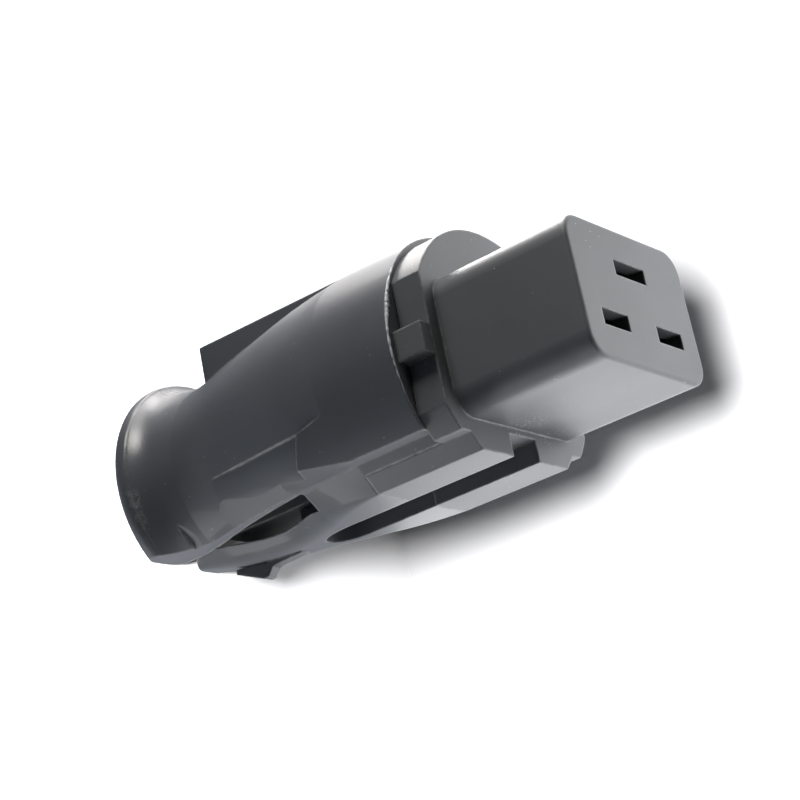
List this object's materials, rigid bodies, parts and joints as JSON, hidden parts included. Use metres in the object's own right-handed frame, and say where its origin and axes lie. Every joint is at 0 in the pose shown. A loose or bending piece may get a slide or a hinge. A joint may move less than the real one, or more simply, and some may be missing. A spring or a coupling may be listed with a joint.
{
  "type": "rewireable appliance connector",
  "caption": "Heavy-duty rewireable appliance connector: rectangular three-slot nose, round flange, waisted hood with grip block, belled cord collar and spring arm, terminals inside.",
  "frame": {"origin": "centre of the cord entry, level with the collar's rim", "axes": "+Z along the connector from the cord end to the mating face; +X towards the keel, where the two live slots are; +Y towards the neutral slot"},
  "size_m": [0.0357, 0.038, 0.0794],
  "materials": {
    "hood_plastic": "satin",
    "carrier_plastic": "matt",
    "cover_plastic": "matt",
    "brass": "satin",
    "steel": "satin"
  },
  "bodies": {
    "root": {"clamp_screw_left": "steel", "clamp_screw_right": "steel", "contact_carrier": "carrier_plastic", "cord_clamp": "cover_plastic", "earth_contact": "brass", "earth_contact_clip": "steel", "earth_terminal": "brass", "earth_terminal_screw": "steel", "hood": "hood_plastic", "line_contact": "brass", "line_contact_clip": "steel", "line_terminal": "brass", "line_terminal_screw": "steel", "neutral_contact": "brass", "neutral_contact_clip": "steel", "neutral_terminal": "brass", "neutral_terminal_screw": "steel", "terminal_cover": "cover_plastic"}
  },
  "joints": []
}
